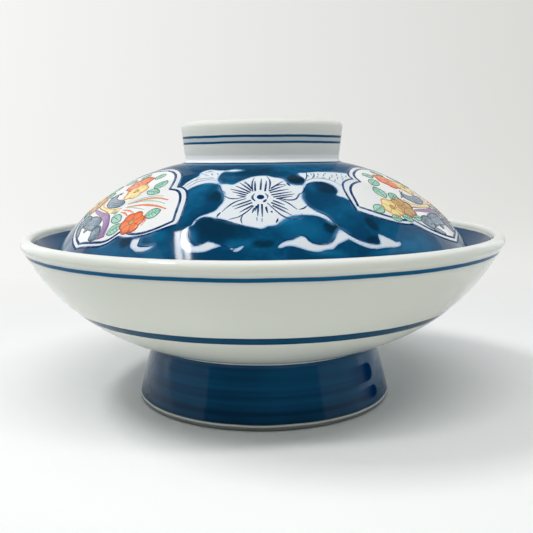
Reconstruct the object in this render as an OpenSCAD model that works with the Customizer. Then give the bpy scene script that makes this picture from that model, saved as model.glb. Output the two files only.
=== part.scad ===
// Lidded porcelain donburi bowl: a wide bowl on a tall flared foot ring, and a domed lid
// that drops inside the rim and is lifted by a ring shaped like a second, smaller foot.
// Millimetres, +Z up, origin at the middle of the face that the foot stands on.
// Every piece is thrown work, so each node is one profile turned about the Z axis.

/* [Bowl] */
// Diameter over the rim
rim_d = 170; // [156:1:190]
// Height of the rim above the table
bowl_h = 60.3; // [54:0.1:66]
// Radius of the outer curve of the wall, as a share of the rim's diameter
bowl_curve = 0.4; // [0.36:0.005:0.46]
// Wall thickness at the rim
rim_wall = 3.8; // [3:0.1:5]
// Thickness of the floor
floor_t = 5.4; // [4:0.1:7]

/* [Foot ring] */
// Diameter of the foot where it meets the bowl
foot_top_d = 82.4; // [74:0.2:88]
// Diameter of the foot at the table
foot_d = 92.4; // [84:0.2:100]
// Height of the foot up to the bowl
foot_h = 20.7; // [16:0.1:26]
// Wall thickness of the foot
foot_wall = 4.6; // [3.5:0.1:6]
// Rounding of the foot's lower edges
foot_edge_r = 1.1; // [0.5:0.1:1.6]

/* [Lid] */
// How far the edge of the lid lies inside the rim
lid_inset = 9.5; // [8:0.1:16]
// Height from the edge bead's middle up to the foot of the grip ring
dome_h = 33.5; // [28:0.1:38]
// Radius of the outer curve of the dome, as a share of the rim's diameter
dome_curve = 0.412; // [0.38:0.004:0.46]
// Wall thickness at the edge of the lid
lid_wall = 3.6; // [3:0.1:5]
// Thickness of the crown, inside the grip ring
crown_t = 5; // [4:0.1:7]
// Gap left between the lid's edge and the bowl's wall that carries it
seat_gap = 0.3; // [0.15:0.05:0.5]

/* [Grip ring] */
// Diameter of the grip ring where it meets the dome
ring_base_d = 55; // [48:0.2:60]
// Diameter of the grip ring at its lip
ring_top_d = 57.8; // [50:0.2:64]
// Height of the grip ring above its foot
ring_h = 14; // [10:0.1:18]
// Wall thickness of the grip ring
ring_wall = 3.8; // [3:0.1:5]

/* [Edges] */
// How far the beads at the rim and at the lid's edge stand proud of the wall
bead_proud = 0.2; // [0.1:0.05:0.4]
// Rounding of the corners where a ring grows out of a wall
fillet_r = 1.6; // [0.8:0.1:2.4]

/* [Hidden] */
$fn = 180;

porcelain = [0.93, 0.94, 0.91];
cobalt = [0.05, 0.28, 0.45];
// Furthest that a straight piece of a profile lies from the true curve
chord_tol = 0.01;

function angle_of(v) = atan2(v.y, v.x);
function way_to(p, q) = (q - p) / norm(q - p);
// The side of a wall along u that faces away from the axis.
function out_side(u) = sign(u.y) * [u.y, -u.x];

// Points of an arc about o, from angle a0 to angle a1.
function arc(o, r, a0, a1) =
    let (steps = ceil(abs(a1 - a0) / (2 * acos(1 - chord_tol / r))))
    [for (i = [0 : steps]) let (a = a0 + (a1 - a0) * i / steps) o + r * [cos(a), sin(a)]];

// The same arc with its ends given as directions, turning left (a bead) or right (a hollow corner).
function left_arc(o, r, v0, v1) =
    let (a0 = angle_of(v0)) arc(o, r, a0, a0 + (angle_of(v1) - a0 + 720) % 360);
function right_arc(o, r, v0, v1) =
    let (a0 = angle_of(v0)) arc(o, r, a0, a0 - (a0 - angle_of(v1) + 720) % 360);

// Where the circle of radius rp about p meets the circle of radius rq about q, left of the way p to q.
function meet(p, rp, q, rq) =
    let (d = norm(q - p), u = (q - p) / d, along = (rp * rp - rq * rq + d * d) / (2 * d))
    p + along * u + sqrt(rp * rp - along * along) * [-u.y, u.x];

// Radius of a curve that leaves a level floor and passes w / 2 inside a bead,
// when the bead's middle lies dx further out than the curve's middle and dz above the floor.
function inner_curve_r(dx, dz, w) = (dx * dx + dz * dz - w * w / 4) / (w + 2 * dz);

// Middle of the fillet between a straight wall, from p along u with its open side at n,
// and the outside of a curve of middle c and radius r.
function fillet_c(p, u, n, c, r) =
    let (q = p + fillet_r * n - c, b = q * u, reach = r + fillet_r)
    c + q - (b + sqrt(b * b - q * q + reach * reach)) * u;

// Bowl: the wall's outer curve runs from the top of the foot to the bead at the rim.
lip_r = rim_wall / 2 + bead_proud;
lip = [rim_d / 2 - lip_r, bowl_h - lip_r];
foot_top = [foot_top_d / 2, foot_h];
bowl_curve_r = bowl_curve * rim_d;
bowl_c = meet(foot_top, bowl_curve_r, lip, bowl_curve_r - rim_wall / 2);
under_z = bowl_c.y - bowl_curve_r;
floor_z = under_z + floor_t;
bowl_in_r = inner_curve_r(lip.x - bowl_c.x, lip.y - floor_z, rim_wall);
bowl_in_c = [bowl_c.x, floor_z + bowl_in_r];

// Lid: its edge bead comes down on the bowl's inner curve, and everything above follows.
edge_r = lid_wall / 2 + bead_proud;
edge_x = rim_d / 2 - lid_inset - edge_r;
seat_r = bowl_in_r - edge_r - seat_gap;
edge_z = bowl_in_c.y - sqrt(seat_r * seat_r - (edge_x - bowl_in_c.x) * (edge_x - bowl_in_c.x));
edge = [edge_x, edge_z];
ring_foot = [ring_base_d / 2, edge_z + dome_h];
dome_curve_r = dome_curve * rim_d;
dome_c = meet(edge, dome_curve_r - lid_wall / 2, ring_foot, dome_curve_r);
crown_z = dome_c.y + dome_curve_r;
crown_under = crown_z - crown_t;
dome_in_r = inner_curve_r(edge.x - dome_c.x, crown_under - edge.y, lid_wall);
dome_in_c = [dome_c.x, crown_under - dome_in_r];

// Half section of a bead on the free edge of a wall between two curves, from m0 round to m1.
function bead(o, r, m0, m1) = left_arc(o, r, m0 - o, m1 - o);

// Outline of a ring that stands on the outside of the curve (c, r), the curve on both sides
// of it included. foot is where its outer side meets the curve, w its thickness there, end the
// outline of its free end. It is walked so that the curve's start and stop directions follow on.
function ring_outline(start, foot, w, end, stop, c, r, outward) =
    let (
        outer_tip = outward ? end[len(end) - 1] : end[0],
        inner_tip = outward ? end[0] : end[len(end) - 1],
        u = way_to(outer_tip, foot),
        v = way_to(inner_tip, foot - w * out_side(u)),
        outer_f = fillet_c(outer_tip, u, out_side(u), c, r),
        inner_f = fillet_c(inner_tip, v, -out_side(v), c, r),
        f0 = outward ? inner_f : outer_f,
        f1 = outward ? outer_f : inner_f,
        side0 = outward ? out_side(v) : -out_side(u),
        side1 = outward ? -out_side(u) : out_side(v)
    )
    concat(
        left_arc(c, r, start, f0 - c),
        right_arc(f0, fillet_r, c - f0, side0),
        end,
        right_arc(f1, fillet_r, side1, c - f1),
        left_arc(c, r, f1 - c, stop)
    );

// The foot stands on a level face with rounded edges.
function foot_end() =
    let (
        outer = [foot_d / 2 - foot_edge_r, foot_edge_r],
        inner = outer - [foot_wall - 2 * foot_edge_r, 0]
    )
    concat(arc(inner, foot_edge_r, 180, 270), arc(outer, foot_edge_r, 270, 360));

// The grip ring ends in a full round lip.
function ring_end() =
    let (r = ring_wall / 2)
    arc([ring_top_d / 2 - r, ring_foot.y + ring_h - r], r, 0, 180);

module bowl() {
    rim_out = meet(lip, lip_r, bowl_c, bowl_curve_r);
    rim_in = meet(lip, lip_r, bowl_in_c, bowl_in_r);
    color(porcelain) rotate_extrude() polygon(concat(
        [[0, under_z]],
        ring_outline(
            [0, -1], foot_top, foot_wall, foot_end(), rim_out - bowl_c, bowl_c, bowl_curve_r, true
        ),
        bead(lip, lip_r, rim_out, rim_in),
        right_arc(bowl_in_c, bowl_in_r, rim_in - bowl_in_c, [0, -1]),
        [[0, floor_z]]
    ));
}

module lid() {
    edge_in = meet(dome_in_c, dome_in_r, edge, edge_r);
    edge_out = meet(dome_c, dome_curve_r, edge, edge_r);
    color(cobalt) rotate_extrude() polygon(concat(
        [[0, crown_under]],
        right_arc(dome_in_c, dome_in_r, [0, 1], edge_in - dome_in_c),
        bead(edge, edge_r, edge_in, edge_out),
        ring_outline(
            edge_out - dome_c, ring_foot, ring_wall, ring_end(), [0, 1], dome_c, dome_curve_r, false
        ),
        [[0, crown_z]]
    ));
}

bowl();
lid();
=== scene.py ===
import cmath
import math

import bmesh
import bpy
import numpy as np
from mathutils import Euler, Matrix, Vector


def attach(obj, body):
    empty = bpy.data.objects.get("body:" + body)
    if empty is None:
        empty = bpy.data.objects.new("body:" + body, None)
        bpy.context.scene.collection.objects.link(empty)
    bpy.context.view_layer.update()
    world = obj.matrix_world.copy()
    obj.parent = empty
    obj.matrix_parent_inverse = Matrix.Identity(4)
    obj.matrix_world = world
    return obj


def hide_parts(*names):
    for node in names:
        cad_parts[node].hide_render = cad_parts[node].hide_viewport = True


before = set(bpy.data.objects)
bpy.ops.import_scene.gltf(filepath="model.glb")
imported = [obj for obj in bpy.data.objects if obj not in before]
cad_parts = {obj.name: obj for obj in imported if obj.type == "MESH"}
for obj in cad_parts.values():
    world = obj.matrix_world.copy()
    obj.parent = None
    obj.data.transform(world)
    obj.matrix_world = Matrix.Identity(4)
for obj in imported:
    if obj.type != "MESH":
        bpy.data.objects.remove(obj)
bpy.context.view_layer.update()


# Bowl: a wide, shallow porcelain bowl thrown in one piece with its tall flared foot.
# The body is white under a clear glaze; the bands and the foot were brushed on in cobalt
# while it turned on the wheel, before glazing.
MM = 0.001
# Driving sizes in millimetres, the same as in part.scad.
RIM_D, BOWL_H, BOWL_CURVE, RIM_WALL, FLOOR_T = 170.0, 60.3, 0.4, 3.8, 5.4
FOOT_TOP_D, FOOT_D, FOOT_H, FOOT_WALL, FOOT_EDGE_R = 82.4, 92.4, 20.7, 4.6, 1.1
BEAD_PROUD, FILLET_R = 0.2, 1.6
# Fineness of the mesh: steps round the axis, and the step along each arc of the half section.
BOWL_STEPS = 256
BOWL_CELLS = [1.6, 0.25, 0.2, 0.2, 0.25, 1.2, 0.35, 1.2]
STRAIGHT_CELL = 2.0
# Where the painting lies, in millimetres along the half section from the middle underneath.
FOOT_BARE, FOOT_WASH = (57.0, 61.6), (62.2, 81.4)
LOW_BAND, LOW_MIDDLE = (109.3, 113.1), (110.1, 112.3)
# The halo round the high line is painted shade: a blue-grey darkening of the white on both sides of the
# line.
HIGH_LINE, HIGH_LINE_SHADE = (136.35, 137.75), (135.6, 138.7)
# The lip band is a painted highlight: brighter white along the top of the rim.
LIP_HIGHLIGHT = (141.7, 145.5)
INNER_WASH, INNER_LINE = (147.4, 171.0), (173.2, 173.9)
# Ends of two brush strokes on the foot: bearing in degrees, place along the section, half width.
FOOT_STROKES = [(60.0, 73.6, 3.3), (61.0, 66.5, 2.3)]
FOOT_RADIUS, STROKE_TAIL, STROKE_EDGE = 43.5, 13.0, 0.5
GLAZED_WHITE, CLOUDED_WHITE = (0.70, 0.72, 0.635, 1), (0.68, 0.70, 0.625, 1)
# Painted highlight colour for the top of the lip.
LIP_HIGHLIGHT_WHITE = (0.82, 0.83, 0.785, 1)
# Bare clay, coloured dark grey as painted shade where the foot meets the floor.
SHADED_BARE_CLAY = (0.225, 0.24, 0.23, 1)
FOOT_DEEP, FOOT_THIN = (0.0, 0.029, 0.076, 1), (0.003, 0.076, 0.172, 1)
FOOT_STROKE = (0.0, 0.024, 0.10, 1)
BAND_EDGE, BAND_MIDDLE = (0.0, 0.036, 0.088, 1), (0.0, 0.057, 0.128, 1)
LINE_DEEP, LINE_THIN = (0.001, 0.072, 0.165, 1), (0.004, 0.098, 0.215, 1)
# Blue-grey of the painted shade beside the high line.
LINE_SHADE_BLUE = (0.045, 0.15, 0.26, 1)
INNER_DEEP, INNER_THIN = (0.004, 0.05, 0.13, 1), (0.02, 0.12, 0.25, 1)
GLAZE_IOR, BOWL_SHINE = 1.48, 0.36


# The half section is drawn in complex numbers: distance from the axis, height as the imaginary part.
# An arc is its middle, radius, first angle and sweep.
def meeting(p, p_radius, q, q_radius):
    """Where two circles meet, on the left of the way from p to q."""
    apart = abs(q - p)
    along = (p_radius**2 - q_radius**2 + apart**2) / (2 * apart)
    return p + (along + 1j * math.sqrt(p_radius**2 - along**2)) * (q - p) / apart


def inner_radius(across, rise, wall):
    """Radius of a curve that leaves a level face and passes half a wall inside a bead."""
    return (across**2 + rise**2 - wall**2 / 4) / (wall + 2 * rise)


def arc_between(middle, radius, start, stop, turn):
    """An arc from one direction to another, turning left (1) or right (-1)."""
    first = cmath.phase(start)
    return middle, radius, first, turn * (turn * (cmath.phase(stop) - first) % math.tau)


def along_arc(arc, share):
    """The point a share of the way along an arc."""
    middle, radius, first, sweep = arc
    return middle + cmath.rect(radius, first + share * sweep)


def outward(way):
    """The side of a wall running along way that faces away from the axis."""
    return -1j * way * math.copysign(1, way.imag)


def fillet_middle(tip, way, side, middle, radius):
    """Middle of the fillet between a straight wall from tip, open at side, and the outside of a curve."""
    start = tip + FILLET_R * side - middle
    along = (start * way.conjugate()).real
    reach = math.sqrt(along**2 - abs(start) ** 2 + (radius + FILLET_R) ** 2)
    return middle + start - (along + reach) * way


def with_ring(middle, radius, start, stop, foot, wall, end, inner_first):
    """Arcs of a curve that a ring stands on: the curve, a fillet, the ring's end, a fillet, the curve.

    The ring's outer side meets the curve at foot, and the outline takes its inner or outer side first.
    """
    tips = [along_arc(end[0], 0), along_arc(end[-1], 1)]
    inner_tip, outer_tip = tips if inner_first else tips[::-1]
    outer_way = (foot - outer_tip) / abs(foot - outer_tip)
    inner_foot = foot - wall * outward(outer_way)
    inner_way = (inner_foot - inner_tip) / abs(inner_foot - inner_tip)
    sides = [
        (fillet_middle(inner_tip, inner_way, -outward(inner_way), middle, radius), outward(inner_way)),
        (fillet_middle(outer_tip, outer_way, outward(outer_way), middle, radius), -outward(outer_way)),
    ]
    (near, near_side), (far, far_side) = sides if inner_first else sides[::-1]
    return [
        arc_between(middle, radius, start, near - middle, 1),
        arc_between(near, FILLET_R, middle - near, near_side, -1),
        *end,
        arc_between(far, FILLET_R, far_side, middle - far, -1),
        arc_between(middle, radius, far - middle, stop, 1),
    ]


lip_r = RIM_WALL / 2 + BEAD_PROUD
lip = complex(RIM_D / 2 - lip_r, BOWL_H - lip_r)
foot_top = complex(FOOT_TOP_D / 2, FOOT_H)
bowl_r = BOWL_CURVE * RIM_D
bowl_middle = meeting(foot_top, bowl_r, lip, bowl_r - RIM_WALL / 2)
under_z = bowl_middle.imag - bowl_r
floor_z = under_z + FLOOR_T
bowl_in_r = inner_radius((lip - bowl_middle).real, lip.imag - floor_z, RIM_WALL)
bowl_in = complex(bowl_middle.real, floor_z + bowl_in_r)
rim_out = meeting(lip, lip_r, bowl_middle, bowl_r)
rim_in = meeting(lip, lip_r, bowl_in, bowl_in_r)
foot_outer = complex(FOOT_D / 2 - FOOT_EDGE_R, FOOT_EDGE_R)
foot_inner = foot_outer - (FOOT_WALL - 2 * FOOT_EDGE_R)
foot_end = [
    arc_between(foot_inner, FOOT_EDGE_R, -1, -1j, 1),
    arc_between(foot_outer, FOOT_EDGE_R, -1j, 1, 1),
]
bowl_arcs = [
    *with_ring(bowl_middle, bowl_r, -1j, rim_out - bowl_middle, foot_top, FOOT_WALL, foot_end, True),
    arc_between(lip, lip_r, rim_out - lip, rim_in - lip, 1),
    arc_between(bowl_in, bowl_in_r, rim_in - bowl_in, -1j, -1),
]


def turned(name, arcs, axis_start, axis_end, cells, steps):
    """Draws a half section arc by arc and turns it about Z. Each vertex keeps how far along it lies."""
    bm = bmesh.new()
    along = bm.verts.layers.float.new("along")

    def straight_to(vert, place):
        """Steps on from vert in a straight line to place, and gives the last vertex."""
        goal = Vector((place.real, 0, place.imag)) * MM
        reach = goal - vert.co
        count = math.ceil(reach.length / MM / STRAIGHT_CELL - 0.01)
        for i in range(count):
            step = bmesh.ops.extrude_vert_indiv(bm, verts=[vert])["verts"][0]
            step.co = goal - reach * ((count - 1 - i) / count)
            step[along] = vert[along] + reach.length / MM / count
            vert = step
        return vert

    tip = bm.verts.new((0, 0, axis_start * MM))
    for arc, cell in zip(arcs, cells):
        middle, radius, _, sweep = arc
        tip = straight_to(tip, along_arc(arc, 0))
        way, done = tip[along], len(bm.verts)
        count = max(3, math.ceil(radius * abs(sweep) / cell))
        bmesh.ops.spin(
            bm, geom=[tip], cent=(middle.real * MM, 0, middle.imag * MM), axis=(0, 1, 0),
            angle=-sweep, steps=count,
        )
        bm.verts.ensure_lookup_table()
        for i in range(count):
            bm.verts[done + i][along] = way + radius * abs(sweep) * (i + 1) / count
        tip = bm.verts[-1]
    straight_to(tip, complex(0, axis_end))
    bmesh.ops.spin(
        bm, geom=bm.verts[:] + bm.edges[:], cent=(0, 0, 0), axis=(0, 0, 1),
        angle=math.tau, steps=steps, use_merge=True,
    )
    bmesh.ops.remove_doubles(bm, verts=bm.verts, dist=1e-7)
    bmesh.ops.recalc_face_normals(bm, faces=bm.faces)
    return shown(name, bm)


def shown(name, bm):
    """Makes a smooth-shaded object of a finished bmesh."""
    for face in bm.faces:
        face.smooth = True
    mesh = bpy.data.meshes.new(name)
    bm.to_mesh(mesh)
    bm.free()
    piece = bpy.data.objects.new(name, mesh)
    bpy.context.scene.collection.objects.link(piece)
    return piece


class Finish:
    """The shader nodes of one material or group. An input is a value or another node's output."""

    def __init__(self, tree):
        self.tree = tree

    def feed(self, socket, value):
        if isinstance(value, bpy.types.NodeSocket):
            self.tree.links.new(value, socket)
        else:
            socket.default_value = value

    def node(self, kind, inputs=(), **settings):
        """Outputs of a new node with its options set and its inputs fed."""
        made = self.tree.nodes.new("ShaderNode" + kind)
        for name, value in settings.items():
            setattr(made, name, value)
        for key, value in dict(inputs).items():
            self.feed(made.inputs[key], value)
        return made.outputs

    def place(self, effect, inputs):
        return self.node("Group", inputs, node_tree=effect.tree)

    def attribute(self, name):
        return self.node("Attribute", attribute_name=name)["Fac"]

    def here(self):
        """Object coordinates, in metres."""
        return self.node("TexCoord")["Object"]

    def math(self, operation, *values):
        return self.node("Math", enumerate(values), operation=operation)[0]

    def plus(self, *values):
        return self.math("ADD", *values)

    def minus(self, *values):
        return self.math("SUBTRACT", *values)

    def times(self, *values):
        return self.math("MULTIPLY", *values)

    def most(self, *values):
        return self.math("MAXIMUM", *values)

    def ramp(self, value, low, high, to_low=0.0, to_high=1.0, kind="SMOOTHSTEP"):
        """Value carried from the span low..high to to_low..to_high, held level outside it."""
        span = {"Value": value, "From Min": low, "From Max": high, "To Min": to_low, "To Max": to_high}
        return self.node("MapRange", span, interpolation_type=kind)[0]

    def even_ramp(self, *span):
        return self.ramp(*span, kind="LINEAR")

    def band(self, value, low, high, soft):
        """1 between low and high, fading to 0 over soft at both edges."""
        rise = self.ramp(value, low - soft, low + soft)
        fall = self.ramp(value, high - soft, high + soft, 1.0, 0.0)
        return self.times(rise, fall)

    def mix(self, factor, first, second):
        return self.node("Mix", {"Factor": factor, 6: first, 7: second}, data_type="RGBA")[2]

    def noise(self, scale, detail, roughness=0.5, stretch=(1, 1, 1)):
        """Noise on the piece's own coordinates, stretched along each axis."""
        there = self.node("Mapping", {"Vector": self.here(), "Scale": stretch})[0]
        look = {"Vector": there, "Scale": scale, "Detail": detail, "Roughness": roughness}
        return self.node("TexNoise", look)[0]

    def wobble(self, scale, reach):
        """How far a painted line strays from its true place."""
        return self.even_ramp(self.noise(scale, 3), 0.2, 0.8, -reach, reach)

    def bump(self, shader, strength, distance, height):
        raised = self.node("Bump", {"Strength": strength, "Distance": distance, "Height": height})[0]
        self.feed(shader.inputs["Normal"], raised)


def finish_for(piece, name, ior, shine):
    """A new material on a piece: its nodes, and its shader."""
    material = bpy.data.materials.new(name)
    material.use_nodes = True
    piece.data.materials.append(material)
    shader = material.node_tree.nodes["Principled BSDF"]
    shader.inputs["IOR"].default_value = ior
    shader.inputs["Specular IOR Level"].default_value = shine
    return Finish(material.node_tree), shader


def new_effect(name, inputs, outputs):
    """A shader group with named sockets: its nodes, what it takes in and what it gives out."""
    tree = bpy.data.node_groups.new(name, "ShaderNodeTree")
    for label, kind, value in inputs:
        tree.interface.new_socket(label, in_out="INPUT", socket_type=kind).default_value = value
    for label, kind in outputs:
        tree.interface.new_socket(label, in_out="OUTPUT", socket_type=kind)
    return Finish(tree), tree.nodes.new("NodeGroupInput").outputs, tree.nodes.new("NodeGroupOutput").inputs


# Cobalt brushed on a turning pot: long level streaks, thinner and thicker.
brushed_cobalt, taken, given = new_effect(
    "Brushed cobalt",
    [("Deep", "NodeSocketColor", FOOT_DEEP), ("Thin", "NodeSocketColor", FOOT_THIN)],
    [("Color", "NodeSocketColor")],
)
streaks = brushed_cobalt.noise(270, 3, 0.55, stretch=(0.012, 0.012, 1.0))
washes = brushed_cobalt.noise(34, 2, stretch=(1.0, 1.0, 0.6))
depth = brushed_cobalt.plus(brushed_cobalt.times(streaks, 0.7), brushed_cobalt.times(washes, 0.3))
thinned = brushed_cobalt.ramp(depth, 0.36, 0.64)
brushed_cobalt.feed(given["Color"], brushed_cobalt.mix(thinned, taken["Deep"], taken["Thin"]))

# Clear glaze: faint waviness and a gloss that changes a little over the pot.
clear_glaze, taken, given = new_effect(
    "Clear glaze",
    [("Gloss", "NodeSocketFloat", 0.07)],
    [("Roughness", "NodeSocketFloat"), ("Height", "NodeSocketFloat")],
)
flow = clear_glaze.noise(55, 3)
pinholes = clear_glaze.noise(900, 2)
uneven = clear_glaze.ramp(flow, 0.3, 0.7, 0.8, 1.3)
clear_glaze.feed(given["Roughness"], clear_glaze.times(uneven, taken["Gloss"]))
clear_glaze.feed(given["Height"], clear_glaze.plus(flow, clear_glaze.times(pinholes, 0.03)))


def glaze_on(finish, shader, roughness, wave):
    """Covers a finish with clear glaze; wave is the depth of its waviness in metres."""
    skin = finish.place(clear_glaze, {"Gloss": roughness})
    finish.feed(shader.inputs["Roughness"], skin["Roughness"])
    finish.bump(shader, 0.25, wave, skin["Height"])
    return skin


bowl = turned("porcelain_bowl", bowl_arcs, under_z, floor_z, BOWL_CELLS, BOWL_STEPS)
finish, shader = finish_for(bowl, "glazed_porcelain", GLAZE_IOR, BOWL_SHINE)
drawn = finish.plus(finish.attribute("along"), finish.wobble(70, 0.16))
clouded = finish.ramp(finish.noise(26, 3), 0.3, 0.7)
body = finish.mix(clouded, GLAZED_WHITE, CLOUDED_WHITE)
# Painted highlight: the top of the lip is whitened.
body = finish.mix(finish.band(drawn, *LIP_HIGHLIGHT, 0.8), body, LIP_HIGHLIGHT_WHITE)

# The foot: brushed all round, with the loaded ends of two strokes.
brushed = finish.place(brushed_cobalt, {"Deep": FOOT_DEEP, "Thin": FOOT_THIN})["Color"]
here = finish.node("SeparateXYZ", {0: finish.here()})
bearing = finish.math("ARCTAN2", here["X"], finish.times(here["Y"], -1.0))
struck = 0.0
for end, level, half in FOOT_STROKES:
    past = finish.minus(finish.times(bearing, FOOT_RADIUS), math.radians(end) * FOOT_RADIUS - half)
    reach = finish.node("CombineXYZ", {0: finish.most(past, 0.0), 1: finish.minus(drawn, level)})[0]
    span = finish.node("VectorMath", {0: reach}, operation="LENGTH")["Value"]
    inked = finish.ramp(span, half - STROKE_EDGE, half, 0.85, 0.0)
    loaded = finish.times(inked, finish.ramp(past, -STROKE_TAIL, 0.0))
    brushed = finish.mix(loaded, brushed, FOOT_STROKE)
    struck = finish.plus(struck, loaded)
foot_wash = finish.band(drawn, *FOOT_WASH, 0.18)
colour = finish.mix(foot_wash, body, brushed)

# The band and the line outside with painted shade beside the line, the wash and the line inside, and the
# bare clay under the foot, coloured dark grey as painted shade.
lined = finish.place(brushed_cobalt, {"Deep": LINE_DEEP, "Thin": LINE_THIN})["Color"]
low_band = finish.band(drawn, *LOW_BAND, 0.14)
high_line = finish.band(drawn, *HIGH_LINE, 0.14)
colour = finish.mix(low_band, colour, BAND_EDGE)
colour = finish.mix(finish.band(drawn, *LOW_MIDDLE, 0.2), colour, BAND_MIDDLE)
# Painted shade: the white beside the high line is darkened with blue-grey.
colour = finish.mix(finish.times(finish.band(drawn, *HIGH_LINE_SHADE, 0.7), 0.16), colour, LINE_SHADE_BLUE)
colour = finish.mix(high_line, colour, lined)
slate = finish.place(brushed_cobalt, {"Deep": INNER_DEEP, "Thin": INNER_THIN})["Color"]
inner_wash = finish.band(drawn, *INNER_WASH, 0.2)
colour = finish.mix(inner_wash, colour, slate)
colour = finish.mix(finish.band(drawn, *INNER_LINE, 0.12), colour, lined)
bare = finish.band(drawn, *FOOT_BARE, 0.15)
# Painted shade: the bare clay at the foot's lower edge is coloured dark grey.
colour = finish.mix(bare, colour, SHADED_BARE_CLAY)
finish.feed(shader.inputs["Base Color"], colour)

# Cobalt dulls the glaze over it, and bare clay has none.
skin = glaze_on(finish, shader, 0.075, 0.0004)
painted = finish.times(foot_wash, finish.plus(0.5, finish.times(struck, 0.6)))
painted = finish.most(painted, finish.times(finish.most(low_band, high_line), 0.86))
painted = finish.most(painted, finish.times(inner_wash, 0.6))
finish.feed(shader.inputs["Specular IOR Level"], finish.even_ramp(painted, 0.0, 1.0, BOWL_SHINE, 0.0))
dry = finish.node("Mix", {"Factor": bare, 2: skin["Roughness"], 3: 0.7})[0]
finish.feed(shader.inputs["Roughness"], dry)
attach(bowl, "bowl")
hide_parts("bowl")


# Lid: a thrown porcelain dome with a turned ring on top that is its grip, and its foot when
# it serves as a dish. The dome is flooded with cobalt wash round reserved white shapes, three
# times the same: a panel and a clematis flower between two panels.
LID_STEPS = 540
LID_CELLS = [3.2, 0.7, 0.78, 0.4, 0.6, 0.4, 2.4]
# Driving sizes in millimetres, the same as in part.scad.
LID_INSET, DOME_H, DOME_CURVE, LID_WALL, CROWN_T, SEAT_GAP = 9.5, 33.5, 0.412, 3.6, 5.0, 0.3
RING_BASE_D, RING_TOP_D, RING_H, RING_WALL = 55.0, 57.8, 14.0, 3.8
# Along the lid's half section: the wash on the dome, the lines at the ring with a painted reflection below
# them, and a painted highlight on the fillet under the ring.
DOME_SPAN, DOME_WASH = (89.0, 147.5), (92.0, 147.2)
# The band just below the base line is a painted reflection, paler blue.
BASE_LINE, BASE_REFLECTION = (146.1, 147.2), (144.1, 146.0)
FILLET_HIGHLIGHT = (147.3, 149.8)
RING_LINES, RING_TINT = [(153.64, 154.40), (155.64, 156.44)], (154.0, 156.0)
LID_WHITE, LID_CLOUD, FILLET_HIGHLIGHT_WHITE = (0.755, 0.765, 0.695, 1), (0.74, 0.755, 0.70, 1), (0.93, 0.94, 0.93, 1)
PATTERN_WHITE, PANEL_WHITE = (0.715, 0.765, 0.79, 1), (0.82, 0.825, 0.81, 1)
PATTERN_EDGE = (0.25, 0.43, 0.68, 1)
WASH_DEEP, WASH_THIN = (0.0, 0.048, 0.118, 1), (0.002, 0.10, 0.215, 1)
WASH_DRAWN_OUT, WASH_POOLED = (0.004, 0.135, 0.28, 1), (0.0, 0.021, 0.045, 1)
WASH_RIM, WASH_EDGE, WASH_FRINGE = (0.0, 0.035, 0.09, 1), (0.01, 0.13, 0.34, 1), (0.10, 0.28, 0.47, 1)
RING_BLUE, REFLECTION_BLUE, BASE_BLUE = (0.22, 0.35, 0.50, 1), (0.03, 0.15, 0.28, 1), (0.0, 0.034, 0.085, 1)
# The painting is set out flat, in millimetres: y runs down the dome from its middle at the
# given bearing in degrees, x to the right. It comes round again every third of a turn.
REPEATS = 3
FLOWER, LEFT_FIELD, RIGHT_FIELD, PANEL = 0.0, -30.0, 33.0, -57.0
# The outline of a panel, lobe by lobe.
PANEL_EDGE = [
    [(0, 36.0), (5, 36.7), (10, 38.2), (14.5, 40.4), (18, 43.2), (20.2, 45.2)],
    [(20.2, 45.2), (22.5, 44.6), (26, 45.2), (30, 47.6), (33.5, 51), (36.3, 54.2), (36.9, 56.0)],
    [(36.9, 56.0), (35.3, 58.3), (33.3, 61.4), (31.0, 64.3), (28.0, 66.8), (24.5, 68.9), (20.6, 69.9)],
    [(20.6, 69.9), (18.4, 73.4), (15.5, 75.4), (12, 76.6), (8, 77.6), (4, 78.5), (0.6, 79.4)],
    [(0.6, 79.4), (-4, 78.2), (-9, 76.2), (-13, 73.8), (-16.3, 71.2), (-18.8, 68.4), (-20.5, 66.5)],
    [(-20.5, 66.5), (-24, 65.0), (-28, 61.9), (-31.4, 58), (-34, 54), (-35.4, 51.2)],
    [(-35.4, 51.2), (-33.9, 49.2), (-31, 45.8), (-27.5, 42.7), (-24, 41.2), (-20, 41.3), (-17.9, 42.0)],
    [(-17.9, 42.0), (-16.3, 39.9), (-13, 38.4), (-8, 37.0), (-4, 36.3), (0, 36)],
]
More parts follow.
